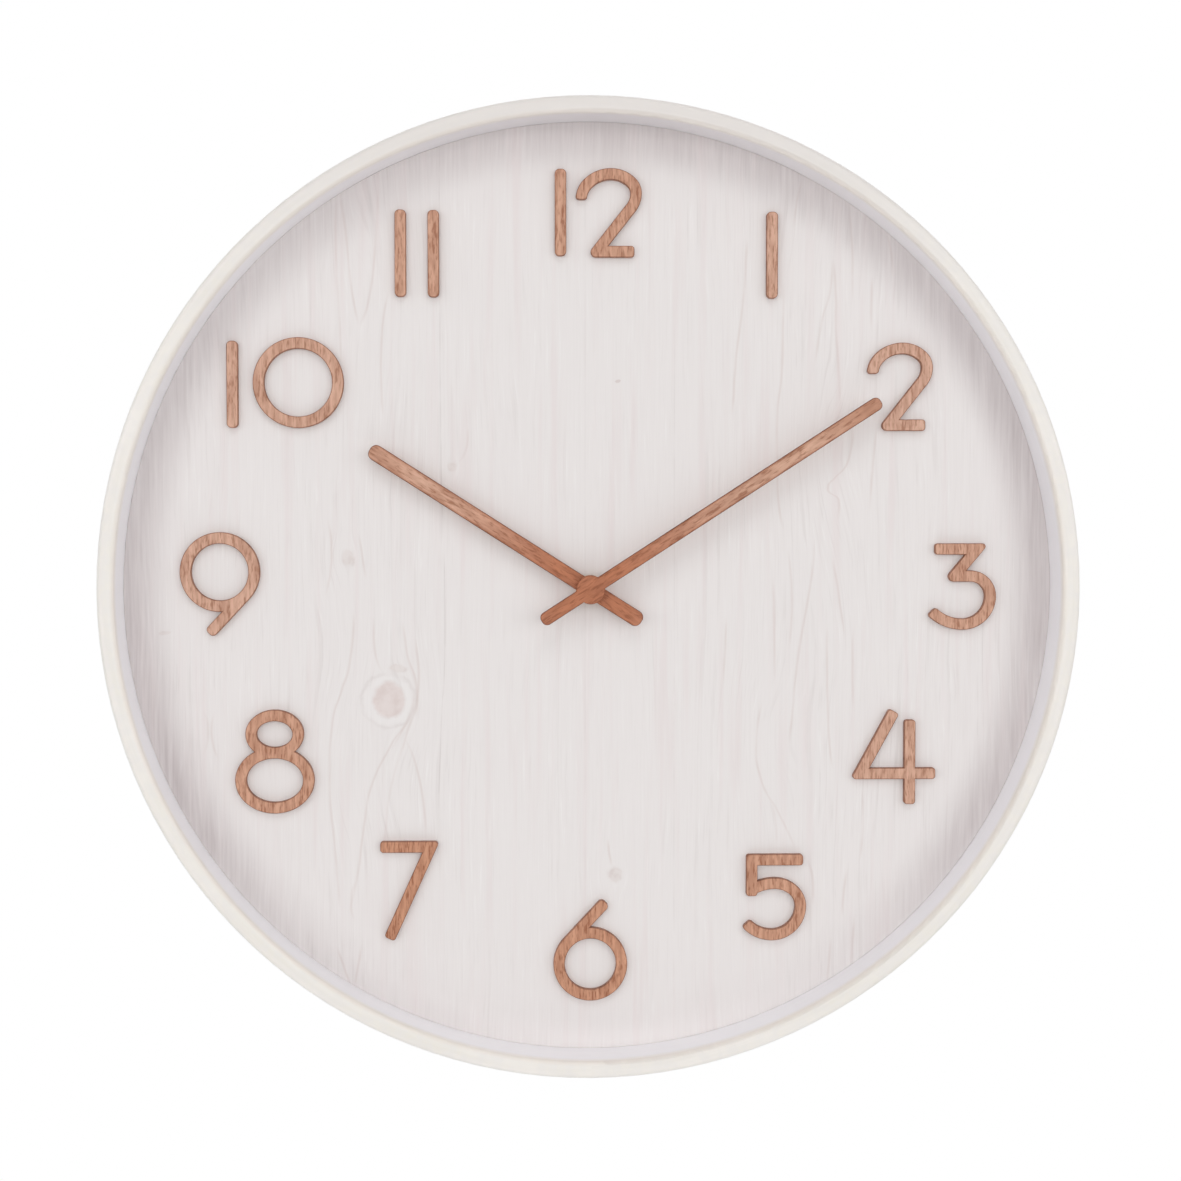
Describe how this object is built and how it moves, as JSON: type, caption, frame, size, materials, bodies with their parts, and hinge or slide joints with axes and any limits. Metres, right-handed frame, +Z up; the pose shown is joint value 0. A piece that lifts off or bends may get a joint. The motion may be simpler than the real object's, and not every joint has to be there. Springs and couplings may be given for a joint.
{
  "type": "wall clock",
  "caption": "Round wall clock: painted bent-wood hoop, whitewashed dial with raised wooden numerals, wooden hands and a battery quartz movement.",
  "frame": {"origin": "on the axis of the hands, halfway through the depth of the case ring, which is the centre of the bounding box", "axes": "+Z up towards twelve, -Y out of the dial towards the reader, +X towards three, the wall on the +Y side"},
  "size_m": [0.4, 0.045, 0.4],
  "materials": {
    "cream_paint": "satin cream paint over bent wood",
    "raw_board": "bare fibreboard",
    "whitewashed_pine": "matt white wash over pine, vertical grain",
    "brown_wood": "matt brown stain, vertical grain",
    "hand_wood": "matt brown stain, grain along the hand",
    "zinc_steel": "zinc plated",
    "brass": "turned brass",
    "black_plastic": "fine matt texture",
    "white_plastic": "moulded",
    "black_rubber": "matt",
    "magnet": "sintered",
    "lamination": "stamped",
    "enamelled_copper": "enamelled wire",
    "green_board": "solder mask",
    "cell_jacket": null
  },
  "bodies": {
    "clock_case": {"case_ring": "cream_paint", "support_ring": "raw_board", "dial_board": "whitewashed_pine", "numeral_01": "brown_wood", "numeral_02": "brown_wood", "numeral_03": "brown_wood", "numeral_04": "brown_wood", "numeral_05": "brown_wood", "numeral_06": "brown_wood", "numeral_07": "brown_wood", "numeral_08": "brown_wood", "numeral_09": "brown_wood", "numeral_10": "brown_wood", "numeral_11": "brown_wood", "numeral_12": "brown_wood", "keyhole_hanger": "zinc_steel", "hanger_screws": "zinc_steel", "positive_contact": "zinc_steel", "negative_contact": "zinc_steel", "quartz_crystal": "zinc_steel", "dial_washer": "brass", "fixing_nut": "brass", "movement_case": "black_plastic", "movement_cover": "black_plastic", "bearing_plate": "white_plastic", "coil_bobbin": "white_plastic", "rubber_washer": "black_rubber", "stator": "lamination", "coil_core": "lamination", "coil_winding": "enamelled_copper", "circuit_board": "green_board"},
    "minute_hand_set": {"minute_hand": "hand_wood", "minute_hand_bush": "brass", "minute_pipe": "white_plastic"},
    "hour_hand_set": {"hour_hand": "hand_wood", "hour_hand_bush": "brass", "hour_wheel": "white_plastic"},
    "setting_set": {"reverse_wheel": "white_plastic", "setting_knob": "black_plastic"},
    "rotor": {"rotor_pinion": "white_plastic", "rotor_magnet": "magnet"},
    "fifth": {"fifth_wheel": "white_plastic"},
    "seconds": {"seconds_wheel": "white_plastic"},
    "third": {"third_wheel": "white_plastic"},
    "centre": {"centre_wheel": "white_plastic"},
    "cell": {"aa_cell": "cell_jacket"}
  },
  "joints": [
    {"name": "minute_hand_turn", "type": "hinge", "parent": "clock_case", "child": "minute_hand_set", "pos_m": [0, 0, 0], "axis": [0, 1, 0], "continuous": true},
    {"name": "hour_hand_turn", "type": "hinge", "parent": "clock_case", "child": "hour_hand_set", "pos_m": [0, 0, 0], "axis": [0, 1, 0], "continuous": true},
    {"name": "setting_turn", "type": "hinge", "parent": "clock_case", "child": "setting_set", "pos_m": [0.00229, 0, 0.013], "axis": [0, 1, 0], "continuous": true},
    {"name": "rotor_turn", "type": "hinge", "parent": "clock_case", "child": "rotor", "pos_m": [0.01322, 0, 0.01056], "axis": [0, 1, 0], "continuous": true},
    {"name": "fifth_turn", "type": "hinge", "parent": "clock_case", "child": "fifth", "pos_m": [0.00902, 0, 0.00328], "axis": [0, 1, 0], "continuous": true},
    {"name": "seconds_turn", "type": "hinge", "parent": "clock_case", "child": "seconds", "pos_m": [0, 0, 0], "axis": [0, 1, 0], "continuous": true},
    {"name": "third_turn", "type": "hinge", "parent": "clock_case", "child": "third", "pos_m": [-0.01205, 0, 0.00213], "axis": [0, 1, 0], "continuous": true},
    {"name": "centre_turn", "type": "hinge", "parent": "clock_case", "child": "centre", "pos_m": [0, 0, 0], "axis": [0, 1, 0], "continuous": true},
    {"name": "cell_slide", "type": "slide", "parent": "clock_case", "child": "cell", "axis": [0, 1, 0], "range_m": [0, 0.03]}
  ],
  "couplings": [
    {"joint": "hour_hand_turn", "follows": "minute_hand_turn", "ratio": 0.083333},
    {"joint": "setting_turn", "follows": "minute_hand_turn", "ratio": -0.33333},
    {"joint": "fifth_turn", "follows": "rotor_turn", "ratio": -0.16667},
    {"joint": "seconds_turn", "follows": "rotor_turn", "ratio": 0.033333},
    {"joint": "third_turn", "follows": "rotor_turn", "ratio": -0.0044444},
    {"joint": "centre_turn", "follows": "rotor_turn", "ratio": 0.00055556}
  ]
}
